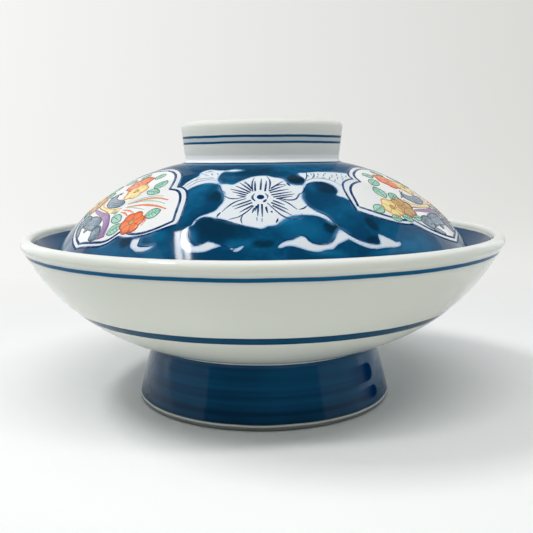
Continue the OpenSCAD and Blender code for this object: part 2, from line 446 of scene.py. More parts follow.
# The other shapes that are left white: bearing, outline.
WHITE_SHAPES = [
    # The clematis, with the scrolls that run out of it on both sides.
    (FLOWER, [
        (-13.6, 44.6), (-12.6, 45.7), (-11, 46.2), (-9.2, 47.0), (-8.2, 46.3), (-6.6, 45.0), (-4.8, 43.7),
        (-2.6, 42.4), (0, 41.9), (1.6, 42.0), (3.6, 43.0), (5.2, 43.4), (6.5, 44.2), (7.2, 45.6),
        (8.2, 46.9), (10.2, 47.5), (12.2, 47.1), (13.1, 46.4), (13.0, 48.2), (12.6, 50.4), (12.1, 52.4),
        (12.2, 54.6), (13.0, 56.4), (14.4, 58.2), (16.2, 59.5), (18.4, 60.2), (20.4, 61.4), (21.6, 63.2),
        (20.2, 62.7), (18.2, 61.9), (15.6, 61.5), (12.6, 61.9), (9.6, 62.6), (7.4, 63.6), (5.6, 65.2),
        (4.2, 66.8), (2.6, 67.2), (1.1, 67.4), (0.6, 68.1), (-1.4, 68.1), (-4, 67.4), (-7, 66.4),
        (-9.6, 65.2), (-12, 63.6), (-14.2, 62.7), (-16.4, 61.8), (-18.6, 61.6), (-20.2, 62.3),
        (-21.9, 63.9), (-21.0, 62.0), (-18.8, 60.6), (-16.4, 60.1), (-14.8, 59.6), (-13.3, 58.0),
        (-12.2, 56.2), (-11.7, 54.4), (-11.6, 52.6), (-12.0, 50.8), (-12.8, 49.2), (-12.9, 47.4),
        (-13.3, 46.2), (-14.6, 44.6), (-14.3, 43.2),
    ]),
    # The open fields above the two waves beside the clematis.
    (FLOWER, [
        (-20.4, 36.8), (-19.9, 34.4), (-18.6, 33.0), (-16.8, 32.6), (-15.2, 33.6), (-13.4, 34.8),
        (-11.2, 35.4), (-9.2, 35.2), (-7.6, 35.8), (-6.2, 36.4), (-7.4, 37.1), (-9.2, 37.2),
        (-11.2, 36.7), (-12.4, 36.9), (-13.3, 38.8), (-13.9, 41.2), (-13.8, 43.4), (-13.2, 45.4),
        (-14.2, 45.2), (-15.6, 44.2), (-17.6, 43.6), (-20, 43.8), (-22.2, 44.6), (-24.4, 46.4),
        (-25.6, 48.8), (-26.6, 47.6), (-26.2, 44.6), (-25.2, 41.8), (-23.2, 39.2),
    ]),
    (RIGHT_FIELD, [
        (-11.3, 38.5), (-9, 38.9), (-4, 39.2), (0, 39.9), (4.2, 40.6), (6.2, 41.2), (6.4, 43.6),
        (5.2, 45.6), (2.6, 46.6), (-0.4, 48.6), (-2.6, 51.8), (-4.0, 55.0), (-4.8, 57.0), (-6.0, 55.6),
        (-7.7, 54.2), (-6.0, 52.5), (-5.2, 50.4), (-5.6, 48.2), (-7.2, 46.4), (-9.4, 45.6), (-11.6, 45.6),
        (-14, 46.5), (-15.8, 47.9), (-14.6, 45.8), (-12.9, 44.4), (-12.1, 42.4), (-12.2, 40.2),
    ]),
    # The white gaps between the waves along the edge.
    (FLOWER, [
        (4.4, 74.9), (5.2, 73.6), (7, 72.5), (9, 71.9), (10.6, 70.9), (11.8, 70.2), (13.0, 70.6),
        (14.2, 71.8), (16.2, 72.4), (18.6, 72.1), (20.6, 71.2), (22.0, 69.4), (22.8, 67.2), (23.6, 65.6),
        (24.8, 66.2), (26.2, 68.0), (25.0, 69.2), (23.4, 70.6), (21.8, 72.6), (19.6, 73.6), (17.2, 74.7),
        (14.6, 75.0), (12, 74.5), (9.8, 74.0), (7.4, 74.1), (5.6, 74.9),
    ]),
    (RIGHT_FIELD, [
        (-16.4, 68.6), (-15.4, 67.6), (-14.4, 69.0), (-12.5, 71.5), (-10.6, 73.2), (-8.6, 74.3),
        (-6.2, 75.2), (-4.4, 75.2), (-3.8, 73.9), (-3.2, 72.0), (-2.0, 72.3), (-0.4, 73.4), (1.2, 74.4),
        (2.4, 75.2), (4.4, 75.2), (3.2, 76.6), (1, 76.9), (-3, 76.7), (-6.8, 76.6), (-9.8, 75.6),
        (-12.5, 73.7), (-14.8, 71.4), (-16.8, 70.8),
    ]),
    (FLOWER, [
        (-22.4, 63.6), (-23.4, 64.8), (-23.9, 66.6), (-23.5, 68.6), (-22.4, 70.2), (-21.6, 71.0),
        (-24.4, 71.8), (-25.4, 69.8), (-25.2, 66.6), (-24.2, 64.4),
    ]),
    (FLOWER, [
        (-24.6, 69.6), (-23.4, 70.4), (-21.6, 71.4), (-19.4, 71.7), (-17.4, 71.1), (-15.6, 71.5),
        (-14.2, 72.4), (-12.6, 73.1), (-14.4, 73.5), (-16.4, 74.0), (-18.8, 74.2), (-21.4, 73.6),
        (-24, 72.3),
    ]),
    (FLOWER, [(-10.6, 74.1), (-8.6, 74.8), (-6.1, 74.1), (-6.4, 75.0), (-7.8, 75.8), (-9.2, 75.4)]),
    (LEFT_FIELD, [
        (-5.9, 72.9), (-4.4, 73.0), (-3.1, 72.6), (-2.8, 74.0), (-2.5, 75.4), (-0.4, 75.6), (1.5, 75.4),
        (3.5, 74.9), (2.4, 76.3), (0.5, 77.2), (-1.8, 77.4), (-3.6, 76.9), (-5.5, 75.9), (-6.0, 74.4),
    ]),
]
# Where the wash was gone over twice (sharp edge), stood and dried darker (soft edge) or was
# drawn out thin (strength below 0): bearing, middle, half sizes, turn, strength, width of the edge.
POOLS = [
    (FLOWER, (10.7, 43.4), (2.9, 3.3), 0, 1.0, 0.6), (FLOWER, (21.2, 65.2), (2.6, 2.2), 0, 1.0, 0.6),
    (FLOWER, (0.0, 73.6), (3.5, 1.4), 0, 0.8, 0.7), (FLOWER, (-13.6, 52.2), (3.2, 2.9), 20, 0.8, 2.2),
    (FLOWER, (19.8, 46.2), (4.0, 3.4), 30, 0.85, 1.6), (FLOWER, (-14.0, 66.4), (10.5, 5.4), 22, 0.8, 5.0),
    (LEFT_FIELD, (-8.4, 73.8), (2.5, 2.1), 0, 0.95, 0.6),
    (RIGHT_FIELD, (-3.1, 68.0), (1.9, 2.9), -15, 0.85, 0.8),
    (RIGHT_FIELD, (-6.4, 73.6), (2.9, 1.5), -10, 0.85, 0.8),
    (FLOWER, (-2.0, 38.4), (9.0, 3.0), 0, 0.6, 3.0), (LEFT_FIELD, (1.0, 47.0), (4.2, 3.0), 40, 0.6, 2.0),
    (RIGHT_FIELD, (8.0, 62.0), (9.0, 4.0), 50, 0.35, 4.0),
    (FLOWER, (12.0, 67.4), (8.0, 4.2), 10, -0.55, 4.0), (FLOWER, (7.4, 64.0), (4.2, 1.8), -15, -0.8, 1.6),
    (FLOWER, (-21.9, 67.7), (2.0, 3.6), 0, -1.0, 2.0), (FLOWER, (-8.3, 73.2), (4.6, 1.6), 0, -0.7, 1.5),
    (FLOWER, (-19.5, 46.2), (4.8, 2.0), -25, -0.6, 2.0),
    (FLOWER, (15.5, 46.8), (2.6, 2.6), 20, -0.4, 2.4), (FLOWER, (19.6, 74.5), (4.8, 1.1), -10, -0.9, 1.2),
    (RIGHT_FIELD, (-12.4, 61.5), (6.0, 5.0), 40, -0.12, 4.0),
    (RIGHT_FIELD, (-2.6, 78.0), (6.5, 1.0), 0, -0.8, 1.2),
    (RIGHT_FIELD, (6.8, 76.4), (3.6, 1.6), 0, -0.9, 1.6),
    (RIGHT_FIELD, (14.0, 76.0), (8.0, 3.4), -10, -0.6, 3.0),
    (LEFT_FIELD, (-16.0, 77.0), (9.0, 3.4), 10, -0.6, 3.0),
    (LEFT_FIELD, (8.0, 56.4), (4.0, 7.0), 0, -0.15, 4.0),
    (LEFT_FIELD, (3.2, 71.6), (3.6, 2.2), 0, -0.6, 2.0),
]
# Furthest that the painting's edges are felt, in millimetres.
FAR = 3.0

# The edge bead rests on the bowl's inner curve, and everything above follows.
edge_r = LID_WALL / 2 + BEAD_PROUD
edge_x = RIM_D / 2 - LID_INSET - edge_r
edge_z = bowl_in.imag - math.sqrt((bowl_in_r - edge_r - SEAT_GAP) ** 2 - (edge_x - bowl_in.real) ** 2)
edge = complex(edge_x, edge_z)
ring_foot = complex(RING_BASE_D / 2, edge_z + DOME_H)
dome_r = DOME_CURVE * RIM_D
dome_middle = meeting(edge, dome_r - LID_WALL / 2, ring_foot, dome_r)
crown_z = dome_middle.imag + dome_r
crown_under = crown_z - CROWN_T
dome_in_r = inner_radius((edge - dome_middle).real, crown_under - edge_z, LID_WALL)
dome_in = complex(dome_middle.real, crown_under - dome_in_r)
edge_in = meeting(dome_in, dome_in_r, edge, edge_r)
edge_out = meeting(dome_middle, dome_r, edge, edge_r)
ring_lip_r = RING_WALL / 2
ring_lip = complex(RING_TOP_D / 2 - ring_lip_r, ring_foot.imag + RING_H - ring_lip_r)
ring_end = [arc_between(ring_lip, ring_lip_r, 1, -1, 1)]
lid_arcs = [
    arc_between(dome_in, dome_in_r, 1j, edge_in - dome_in, -1),
    arc_between(edge, edge_r, edge_in - edge, edge_out - edge, 1),
    *with_ring(dome_middle, dome_r, edge_out - dome_middle, 1j, ring_foot, RING_WALL, ring_end, False),
]


def smooth_line(points, closed=False, parts=6):
    """A smooth line through points: each stretch is a cubic through its neighbours."""
    p = np.asarray(points, float)
    before, after = (p[-1:], p[:2]) if closed else (2 * p[:1] - p[1:2], 2 * p[-1:] - p[-2:-1])
    p = np.vstack([before, p, after])
    t = np.linspace(0, 1, parts, endpoint=False)[:, None]
    run = [
        b + 0.5 * t * ((c - a) + t * ((2 * a - 5 * b + 4 * c - d) + t * (3 * b - a - 3 * c + d)))
        for a, b, c, d in zip(p[:-3], p[1:-2], p[2:-1], p[3:])
    ]
    return np.vstack(run if closed else run + [p[-2:-1]])


def depth_inside(spots, outline):
    """How far inside a closed outline each spot lies, in millimetres; negative outside."""
    near, inside = np.full(len(spots), math.inf), np.zeros(len(spots), bool)
    for a, b in zip(outline, np.roll(outline, -1, 0)):
        way = b - a
        share = np.clip((spots - a) @ way / max(way @ way, 1e-9), 0, 1)
        near = np.minimum(near, np.hypot(*(spots - a - share[:, None] * way).T))
        crossed = (a[1] > spots[:, 1]) != (b[1] > spots[:, 1])
        if crossed.any():
            inside ^= crossed & (spots[:, 0] < a[0] + (spots[:, 1] - a[1]) * way[0] / (way[1] or 1e-9))
    return np.where(inside, near, -near)


def set_out(bearing, turn, down):
    """Flat places of points on the dome, seen from the nearest repeat of a bearing."""
    third = 360 / REPEATS
    off = np.radians((np.degrees(turn) - bearing + third / 2) % third - third / 2)
    return np.stack([down * np.sin(off), down * np.cos(off)], -1)


lid = turned("porcelain_lid", lid_arcs, crown_under, crown_z, LID_CELLS, LID_STEPS)
co = np.empty(len(lid.data.vertices) * 3)
lid.data.vertices.foreach_get("co", co)
co = co.reshape(-1, 3) / MM
way = np.empty(len(co))
lid.data.attributes["along"].data.foreach_get("value", way)
dome = np.where((way > DOME_SPAN[0]) & (way < DOME_SPAN[1]))[0]
x, y, z = co[dome].T
turn = np.arctan2(x, -y)
rise = np.arctan2(z - dome_middle.imag, np.hypot(x, y) - dome_middle.real)
down = dome_middle.real + dome_r * (math.pi / 2 - rise)

# How deep each point of the dome lies inside a white shape, and inside a panel, the last of them.
white, panel = np.full((2, len(dome)), -FAR)
outlines = [(bearing, smooth_line(points, True)) for bearing, points in WHITE_SHAPES]
outlines.append((PANEL, np.vstack([smooth_line(run)[:-1] for run in PANEL_EDGE])))
for bearing, outline in outlines:
    flat = set_out(bearing, turn, down)
    close = np.where(((flat > outline.min(0) - FAR) & (flat < outline.max(0) + FAR)).all(1))[0]
    depths = depth_inside(flat[close], outline)
    white[close] = np.maximum(white[close], depths)
panel[close] = depths
pool = np.zeros(len(dome))
for bearing, middle, (half_x, half_y), tilt, strength, soft in POOLS:
    x, y = (set_out(bearing, turn, down) - middle).T
    c, s = math.cos(math.radians(tilt)), math.sin(math.radians(tilt))
    span = np.hypot((c * x + s * y) / half_x, (c * y - s * x) / half_y)
    pool += strength * np.clip((1 - span) * min(half_x, half_y) / soft + 0.5, 0, 1)
for label, values, elsewhere in (
    ("white", white, -FAR), ("panel", panel, -FAR), ("pool", np.clip(pool, -1, 1), 0.0),
):
    field = np.full(len(co), elsewhere)
    field[dome] = values
    lid.data.attributes.new(label, "FLOAT", "POINT").data.foreach_set("value", field)

# The wash on the dome: laid on with a full brush, so it is cloudy, and darker where it pooled.
flooded_cobalt, taken, given = new_effect(
    "Flooded cobalt",
    [("Pool", "NodeSocketFloat", 0.0)],
    [("Color", "NodeSocketColor")],
)
clouds = flooded_cobalt.noise(75, 4, 0.55)
grain = flooded_cobalt.minus(flooded_cobalt.noise(420, 3, 0.6), 0.5)
cloudy = flooded_cobalt.plus(clouds, flooded_cobalt.times(grain, 0.25))
flood = flooded_cobalt.mix(flooded_cobalt.ramp(cloudy, 0.40, 0.70), WASH_DEEP, WASH_THIN)
flood = flooded_cobalt.mix(flooded_cobalt.even_ramp(taken["Pool"], -1, 0, 1, 0), flood, WASH_DRAWN_OUT)
flood = flooded_cobalt.mix(flooded_cobalt.even_ramp(taken["Pool"], 0, 1), flood, WASH_POOLED)
flooded_cobalt.feed(given["Color"], flood)

finish, shader = finish_for(lid, "flooded_cobalt_glaze", GLAZE_IOR, 0.34)
along = finish.attribute("along")
drawn = finish.plus(along, finish.wobble(90, 0.12))
reserve = finish.attribute("white")
frayed = finish.even_ramp(finish.noise(480, 3, 0.6), 0.25, 0.75, -0.16, 0.16)
bare_white = finish.ramp(finish.plus(reserve, frayed), -0.14, 0.14)

# The wash: dark just short of a white shape, bright at its very edge, fringed here and there.
flood = finish.place(flooded_cobalt, {"Pool": finish.attribute("pool")})["Color"]
flood = finish.mix(finish.ramp(reserve, -0.9, -0.25, 0.0, 0.35), flood, WASH_RIM)
flood = finish.mix(finish.ramp(reserve, -0.35, 0.0, 0.0, 0.7), flood, WASH_EDGE)
drawn_out = finish.ramp(finish.noise(85, 2), 0.50, 0.66, 0.0, 0.75)
flood = finish.mix(finish.times(finish.ramp(reserve, -1.5, 0.1), drawn_out), flood, WASH_FRINGE)

# The white ground, tinted at the edge of the pattern, cleanest in the panels, and whitened on the fillet
# under the ring as a painted highlight.
ground = finish.mix(finish.ramp(finish.noise(40, 2), 0.3, 0.7), LID_WHITE, LID_CLOUD)
# Painted highlight: a brighter white on the fillet at the foot of the ring.
ground = finish.mix(finish.times(finish.band(drawn, *FILLET_HIGHLIGHT, 0.4), 0.9), ground, FILLET_HIGHLIGHT_WHITE)
reserved = finish.mix(finish.ramp(reserve, 0.0, 0.7, 0.8, 0.0), PATTERN_WHITE, PATTERN_EDGE)
reserved = finish.mix(finish.ramp(finish.attribute("panel"), 1.5, 2.2), reserved, PANEL_WHITE)
ground = finish.mix(bare_white, ground, reserved)
washed = finish.times(finish.band(drawn, *DOME_WASH, 0.2), finish.minus(1.0, bare_white))
colour = finish.mix(washed, ground, flood)

# The lines round the grip ring, the dark line at its foot, and a painted reflection: a paler blue band on
# the dome just below that line.
colour = finish.mix(finish.times(finish.band(drawn, *RING_TINT, 0.2), 0.42), colour, RING_BLUE)
for ring_line in RING_LINES:
    colour = finish.mix(finish.band(drawn, *ring_line, 0.1), colour, LINE_DEEP)
# Painted reflection: paler blue just below the dark line at the ring's foot.
colour = finish.mix(finish.times(finish.band(drawn, *BASE_REFLECTION, 0.5), 0.8), colour, REFLECTION_BLUE)
colour = finish.mix(finish.band(drawn, *BASE_LINE, 0.15), colour, BASE_BLUE)
finish.feed(shader.inputs["Base Color"], colour)
glaze_on(finish, shader, 0.06, 0.0003)
shine = finish.times(finish.ramp(washed, 0.0, 1.0, 0.40, 0.21), finish.ramp(along, 118, 140, 1.0, 0.04))
finish.feed(shader.inputs["Specular IOR Level"], shine)
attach(lid, "lid")
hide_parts("lid")


# Cobalt drawing on the lid: outlines of the panels, petals and waves and the veins of the
# clematis, drawn with a fine brush over the wash and sealed under the same glaze.
LINE_LIFT, LINE_CROWN, LINE_DEPTH = 0.02, 0.015, 0.06
EDGE_WIDTH, PANEL_LINE_WIDTH, VEIN_WIDTH, PALE_WIDTH, PALE_LOAD = 0.7, 0.9, 0.68, 0.5, 0.55
# How long the cells of a stroke are, how far its way is looked at, and how much colour it loses.
STROKE_CELL, STROKE_LOOK, STROKE_LOSS = 0.55, 0.2, 0.3
# Widths of a stroke at its start, middle and end.
EVEN, TAPERED, FADING = (1, 1, 1), (0.5, 1, 0.4), (0.85, 0.95, 0.35)
INK_PALE, INK_FULL = (0.38, 0.52, 0.70, 1), (0.0, 0.028, 0.125, 1)
EYE, EYE_R, EYE_POINTS, EYE_LOAD = (-0.6, 54.8), 1.15, 20, 1.3
# The line inside the edge of a panel, lobe by lobe.
PANEL_LINE = [
    [(0, 38.0), (5, 38.7), (10, 40.3), (14, 42.8), (16.9, 45.4), (18.7, 47.5)],
    [(18.7, 47.4), (22, 46.6), (25, 47.2), (28, 48.9), (31, 51.8), (33.4, 54.3), (34.8, 55.7)],
    [
        (34.8, 55.7), (34, 57.6), (32.4, 60.6), (30.2, 63.5), (27.5, 65.8), (24.5, 67.1), (21.6, 67.5),
        (19.9, 67.9),
    ],
    [(19.9, 67.9), (18, 71.6), (15.5, 73.7), (12, 74.9), (8, 75.9), (4, 76.7), (0.8, 77.5)],
    [(0.8, 77.5), (-4, 76.2), (-8, 74.6), (-11.5, 72.6), (-14.5, 70.2), (-16.8, 67.5), (-18.4, 65.0)],
    [(-18.6, 65.4), (-23, 63.5), (-26, 61.0), (-29, 57.5), (-31.5, 53.6), (-33.1, 50.9)],
    [(-33.2, 50.6), (-31.5, 49.1), (-28.5, 46.2), (-25.5, 44.4), (-22, 43.7), (-19, 43.9), (-17.0, 44.4)],
    [(-17.0, 44.4), (-15.2, 41.8), (-12.5, 40.2), (-9, 39.2), (-4.5, 38.4), (0, 38.0)],
]
# The drawn lines of the petals, scrolls and waves: bearing, width, points.
OUTLINES = [
    (FLOWER, 0.585, [(-2.9, 51.8), (-3.2, 48.4), (-2.9, 45.0), (-2.4, 43.2)]),
    (FLOWER, 0.585, [(2.0, 51.0), (2.4, 47.6), (2.2, 44.8), (1.4, 42.4)]),
    (FLOWER, 0.52, [(-3.3, 50.2), (-4.2, 48.0), (-5.8, 46.3)]),
    (FLOWER, 0.52, [(-11.6, 53.0), (-10.2, 54.4), (-8.0, 55.0), (-5.6, 54.4)]),
    (FLOWER, 0.585, [(-5.0, 55.3), (-8.4, 56.6), (-11.0, 58.8), (-12.4, 60.4)]),
    (FLOWER, 0.715, [(-12.8, 60.5), (-13.6, 61.4), (-14.0, 62.4)]),
    (FLOWER, 0.52, [(-2.6, 58.8), (-4.6, 61.2), (-7.2, 63.2), (-10.4, 63.9)]),
    (FLOWER, 0.52, [(-6.1, 62.8), (-6.6, 64.4), (-6.2, 66.2)]),
    (FLOWER, 0.65, [(4.6, 64.2), (4.4, 65.2), (4.0, 66.0)]),
    (FLOWER, 0.52, [
        (1.4, 57.6), (3.6, 60.6), (6.2, 63.2), (9.0, 64.2), (11.2, 64.0), (12.3, 63.0), (11.8, 61.4),
    ]),
    (FLOWER, 0.52, [(4.8, 55.6), (7.6, 57.2), (10.6, 60.0)]),
    (FLOWER, 0.65, [(4.6, 55.2), (7.6, 55.9), (9.8, 55.4), (10.9, 53.8), (11.4, 52.4), (12.6, 51.4)]),
    (FLOWER, 0.585, [(11.2, 59.8), (12.6, 59.0), (13.8, 57.4)]),
    (FLOWER, 0.52, [(2.9, 49.6), (5.2, 48.0), (7.4, 47.4)]),
    (FLOWER, 0.78, [(7.6, 46.6), (8.2, 47.6), (8.6, 48.2)]),
    (FLOWER, 0.975, [(0.3, 57.3), (0.9, 56.4), (1.2, 55.9)]),
    (FLOWER, 0.715, [(-2.2, 56.7), (-3.0, 55.5), (-3.0, 54.2), (-2.4, 53.0)]),
    (FLOWER, 0.585, [(0.8, 53.0), (1.6, 54.2), (1.4, 55.6)]),
    (FLOWER, 0.455, [(-14.2, 62.9), (-11, 64.3), (-8, 66.0), (-4, 67.5), (-1, 68.3)]),
    (FLOWER, 0.39, [
        (-22.3, 64.4), (-23.0, 66.4), (-22.4, 68.8), (-20.6, 70.9), (-18.4, 71.4), (-16.4, 70.7),
    ]),
    (FLOWER, 0.52, [
        (11.8, 70.0), (13.4, 70.4), (14.6, 71.8), (16.6, 72.2), (19.0, 71.8), (21.2, 70.6), (22.4, 68.6),
    ]),
    (FLOWER, 0.39, [(4.4, 74.4), (6.4, 72.4), (9.2, 71.4), (11.0, 70.0)]),
    (FLOWER, 0.39, [(-12.4, 73.3), (-10.4, 73.8), (-9.0, 74.6)]),
    (FLOWER, 0.39, [(-13.2, 46.6), (-12.8, 48.6), (-12.4, 50.2), (-11.6, 50.8), (-11.4, 51.8)]),
    (FLOWER, 0.52, [(13.6, 46.4), (15.2, 44.6), (17.6, 43.4), (20.0, 43.2), (22.2, 44.4), (23.3, 46.8)]),
    (FLOWER, 0.455, [(12.9, 48.4), (12.7, 50.2), (12.2, 51.6), (11.2, 52.4), (10.6, 53.6)]),
    (FLOWER, 0.52, [(16.4, 59.6), (19.0, 60.4), (21.0, 61.8), (23.0, 63.8), (24.2, 65.2)]),
    (FLOWER, 0.52, [(-20.6, 62.2), (-18.0, 61.4), (-15.4, 62.2)]),
    (FLOWER, 0.455, [(14.0, 37.2), (14.0, 40.4), (13.6, 42.8), (13.1, 45.0)]),
    (FLOWER, 0.455, [(16.4, 37.0), (16.3, 39.6), (15.4, 42.2)]),
    (LEFT_FIELD, 0.52, [
        (-3.2, 72.4), (-2.9, 73.8), (-2.6, 75.3), (-0.2, 75.5), (2.0, 75.3), (3.4, 74.8),
    ]),
    (RIGHT_FIELD, 0.455, [(-15.2, 67.4), (-13.4, 70.4), (-11.0, 72.8), (-8.6, 74.3), (-6.0, 75.2)]),
]
# The veins of the clematis: root and tip.
VEINS = [
    ((-2.2, 51.6), (-2.3, 45.6)), ((-0.6, 51.1), (-0.3, 44.0)), ((0.8, 51.8), (1.3, 45.5)),
    ((-3.1, 50.5), (-5.5, 45.5)), ((-3.4, 51.4), (-7.0, 46.2)), ((-3.7, 52.3), (-8.3, 47.9)),
    ((-4.3, 52.8), (-9.8, 49.6)), ((-4.9, 53.6), (-9.3, 51.2)), ((-5.2, 54.5), (-7.9, 53.2)),
    ((2.6, 50.3), (6.4, 45.5)), ((2.0, 51.7), (7.2, 48.1)), ((2.3, 52.5), (8.1, 50.2)),
    ((2.7, 53.8), (9.0, 51.5)), ((3.3, 54.8), (9.9, 52.6)), ((4.2, 55.6), (9.2, 53.8)),
    ((-3.5, 56.3), (-9.3, 58.7)), ((-3.1, 57.4), (-8.6, 59.8)), ((-3.0, 58.7), (-7.0, 61.4)),
    ((-2.4, 59.8), (-3.2, 62.0)), ((-1.8, 58.9), (-2.3, 61.3)), ((-1.3, 58.2), (-1.5, 63.4)),
    ((-0.2, 58.2), (-0.1, 63.8)), ((1.0, 59.4), (1.5, 62.2)), ((2.6, 61.3), (3.0, 62.0)),
    ((3.2, 56.5), (6.8, 58.4)), ((2.6, 57.5), (7.8, 60.4)), ((3.0, 58.8), (8.8, 62.6)),
]
# Pale strokes that shade the two open fields: bearing, points.
PALE_STROKES = [
    (FLOWER, [(-1.8, 63.8), (-1.7, 65.4)]), (FLOWER, [(-0.2, 64.2), (-0.2, 65.8)]),
    (FLOWER, [(-18.4, 34.6), (-16.2, 35.0)]), (FLOWER, [(-17.4, 33.6), (-15.4, 35.4)]),
    (FLOWER, [(-19.0, 36.2), (-17.6, 36.6)]), (FLOWER, [(-16.2, 36.6), (-15.6, 38.6)]),
    (FLOWER, [(-18.2, 37.6), (-16.8, 38.2)]), (FLOWER, [(-21.0, 38.4), (-19.6, 38.2)]),
    (FLOWER, [(-22.0, 40.4), (-20.4, 39.4)]), (RIGHT_FIELD, [(1.6, 41.4), (0.6, 43.0)]),
    (RIGHT_FIELD, [(-0.8, 42.2), (-2.2, 44.2)]), (RIGHT_FIELD, [(-2.6, 43.6), (-4.2, 45.4)]),
    (RIGHT_FIELD, [(0.4, 43.8), (-1.0, 45.4)]), (RIGHT_FIELD, [(2.6, 43.2), (1.6, 44.6)]),
    (RIGHT_FIELD, [(-3.4, 41.2), (-4.6, 42.8)]), (RIGHT_FIELD, [(-1.8, 45.4), (-3.0, 46.8)]),
    (RIGHT_FIELD, [(3.6, 41.6), (2.8, 42.6)]), (RIGHT_FIELD, [(-5.2, 40.4), (-6.0, 42.0)]),
    (RIGHT_FIELD, [(1.8, 45.0), (0.4, 46.0)]), (RIGHT_FIELD, [(-7.6, 39.8), (-8.2, 41.4)]),
    (RIGHT_FIELD, [(-6.4, 42.4), (-7.6, 43.0)]), (RIGHT_FIELD, [(-9.4, 40.4), (-9.8, 42.2)]),
    (RIGHT_FIELD, [(-2.2, 40.6), (-3.2, 41.4)]), (RIGHT_FIELD, [(4.6, 42.8), (3.4, 44.2)]),
    (RIGHT_FIELD, [(-4.8, 44.0), (-5.8, 43.4)]), (FLOWER, [(-14.2, 37.0), (-14.0, 38.8)]),
    (FLOWER, [(-12.4, 35.8), (-10.4, 36.2)]), (FLOWER, [(-19.6, 35.0), (-18.8, 35.8)]),
    (FLOWER, [(-17.2, 40.2), (-15.6, 40.0)]),
    (FLOWER, [(-23.6, 44.0), (-21.0, 41.8), (-18.0, 41.2), (-15.4, 42.2), (-14.4, 43.4)]),
    (FLOWER, [(-24.6, 42.8), (-22.0, 40.4), (-19.0, 39.8), (-16.2, 40.4), (-14.8, 41.6)]),
    (RIGHT_FIELD, [(-12.2, 44.2), (-9.4, 43.4), (-6.4, 44.0), (-4.0, 45.8), (-2.6, 48.4), (-2.2, 50.0)]),
]


def on_dome(x, y, bearing, lift):
    """A place of the flat drawing on the dome, lifted off the glaze by lift millimetres."""
    rise = math.pi / 2 - (math.hypot(x, y) - dome_middle.real) / dome_r
    turn = math.atan2(x, y) + math.radians(bearing)
    place = dome_middle + cmath.rect(dome_r + lift, rise)
    return Vector((place.real * math.sin(turn), -place.real * math.cos(turn), place.imag)) * MM


def stroke(bm, bearing, points, width, ends=TAPERED, lift=LINE_LIFT, crown=LINE_CROWN, load=1.0, across=2):
    """One brush stroke along points: a grid bent onto the dome, its width set at start, middle and end."""
    path = smooth_line(points, parts=10)
    reach = np.concatenate([[0], np.cumsum(np.hypot(*np.diff(path, axis=0).T))])
    loaded = bm.verts.layers.float["load"]
    count = max(4, round(reach[-1] / STROKE_CELL))
    made = bmesh.ops.create_grid(bm, x_segments=count, y_segments=across, size=0.5)["verts"]
    for vert in made:
        share, side = vert.co.x + 0.5, vert.co.y * 2
        at = share * reach[-1]
        here, ahead, behind = (
            np.array([np.interp(s, reach, path[:, 0]), np.interp(s, reach, path[:, 1])])
            for s in (at, min(at + STROKE_LOOK, reach[-1]), max(at - STROKE_LOOK, 0))
        )
        way = (ahead - behind) / max(np.hypot(*(ahead - behind)), 1e-9)
        half = width / 2 * np.interp(share, (0, 0.5, 1), ends)
        x, y = here + side * half * np.array([-way[1], way[0]])
        vert.co = on_dome(x, y, bearing, lift + crown * (1 - side * side))
        vert[loaded] = load * (1 - STROKE_LOSS * share)


def dab(bm, bearing, outline, middle, lift, crown, load=1.0, rings=4):
    """One dab of colour in a closed outline: a grid rolled up round its middle and bent onto the dome."""
    loaded = bm.verts.layers.float["load"]
    made = bmesh.ops.create_grid(bm, x_segments=len(outline), y_segments=rings, size=0.5)["verts"]
    for vert in made:
        at, out = round((vert.co.x + 0.5) * len(outline)) % len(outline), vert.co.y + 0.5
        x, y = np.asarray(middle) + out * (outline[at] - middle)
        vert.co = on_dome(x, y, bearing, lift + crown * (1 - out**4))
        vert[loaded] = load


def new_drawing():
    """An empty bmesh whose vertices keep how strongly the brush was loaded."""
    bm = bmesh.new()
    bm.verts.layers.float.new("load")
    return bm


def repeated_drawing(name, bm, depth):
    """Closes the drawn sheets to thin bodies sunk in the glaze, and repeats them round the dome."""
    bmesh.ops.remove_doubles(bm, verts=bm.verts, dist=1e-8)
    below = bmesh.ops.extrude_face_region(bm, geom=bm.faces[:], use_keep_orig=True)["geom"]
    for vert in below:
        if isinstance(vert, bmesh.types.BMVert):
            ring = vert.co.xy.normalized() * dome_middle.real * MM
            vert.co -= (vert.co - Vector((*ring, dome_middle.imag * MM))).normalized() * depth * MM
    once = bm.verts[:] + bm.edges[:] + bm.faces[:]
    for repeat in range(1, REPEATS):
        copy = bmesh.ops.duplicate(bm, geom=once)["geom"]
        bmesh.ops.rotate(
            bm, verts=[v for v in copy if isinstance(v, bmesh.types.BMVert)], cent=(0, 0, 0),
            matrix=Matrix.Rotation(repeat * math.tau / REPEATS, 3, "Z"),
        )
    bmesh.ops.recalc_face_normals(bm, faces=bm.faces)
    return shown(name, bm)


bm = new_drawing()
for run in PANEL_EDGE:
    stroke(bm, PANEL, run, EDGE_WIDTH, EVEN)
for run in PANEL_LINE:
    stroke(bm, PANEL, run, PANEL_LINE_WIDTH, EVEN)
for bearing, width, points in OUTLINES:
    stroke(bm, bearing, points, width)
for root, tip in VEINS:
    middle = (np.array(root) + tip) / 2
    stroke(bm, FLOWER, [root, middle, tip], VEIN_WIDTH, FADING)
for bearing, points in PALE_STROKES:
    stroke(bm, bearing, points, PALE_WIDTH, load=PALE_LOAD)
around = np.linspace(0, math.tau, EYE_POINTS, False)
eye = EYE + EYE_R * np.stack([np.cos(around), np.sin(around)], -1)
dab(bm, FLOWER, eye, EYE, LINE_LIFT, LINE_CROWN, EYE_LOAD, 2)
drawing = repeated_drawing("cobalt_drawing", bm, LINE_DEPTH)
finish, shader = finish_for(drawing, "drawn_cobalt", 1.5, 0.02)
